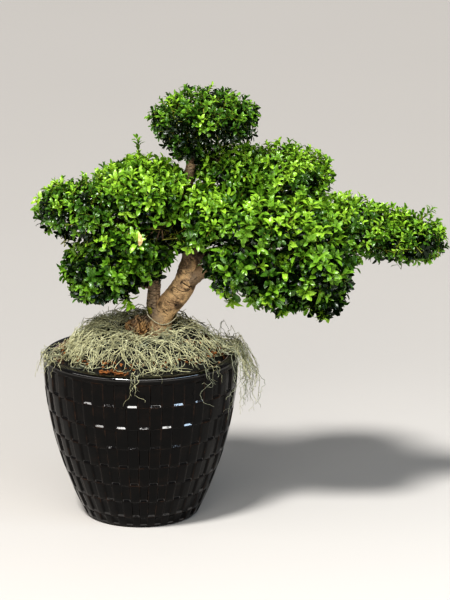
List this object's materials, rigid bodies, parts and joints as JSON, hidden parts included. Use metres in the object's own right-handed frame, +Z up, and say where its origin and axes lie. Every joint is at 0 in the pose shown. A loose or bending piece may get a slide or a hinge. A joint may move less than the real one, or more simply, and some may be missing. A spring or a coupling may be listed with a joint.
{
  "type": "potted japanese holly",
  "caption": "Japanese holly clipped into rounded clouds on a leaning trunk, in a round black glazed pot with a chequered relief, its soil dressed with curly moss.",
  "frame": {"origin": "centre of the pot's flat underside, which stands on the ground", "axes": "+Z up along the pot's axis; -Y is the front; the crown's long arm reaches towards +X"},
  "size_m": [0.7722, 0.4094, 0.8046],
  "materials": {
    "glaze": "gloss",
    "potting_mix": "matt",
    "bark": "matt",
    "foliage": "satin",
    "moss": "matt"
  },
  "bodies": {
    "root": {"pot": "glaze", "potting_mix": "potting_mix", "trunk": "bark", "left_stem": "bark", "leader": "bark", "right_bough": "bark", "arm_bough": "bark", "front_upper_bough": "bark", "upper_right_bough": "bark", "hump_bough": "bark", "left_tip_bough": "bark", "low_left_bough": "bark", "back_left_bough": "bark", "back_middle_bough": "bark", "back_right_bough": "bark", "top_dome": "foliage", "upper_right_cloud": "foliage", "left_hump_cloud": "foliage", "left_tip_cloud": "foliage", "lower_left_cloud": "foliage", "front_upper_cloud": "foliage", "front_lower_cloud": "foliage", "right_arm_cloud": "foliage", "back_left_cloud": "foliage", "back_middle_cloud": "foliage", "back_right_cloud": "foliage", "moss_mound": "moss", "moss_fall_right": "moss", "moss_fall_left": "moss"}
  },
  "joints": []
}
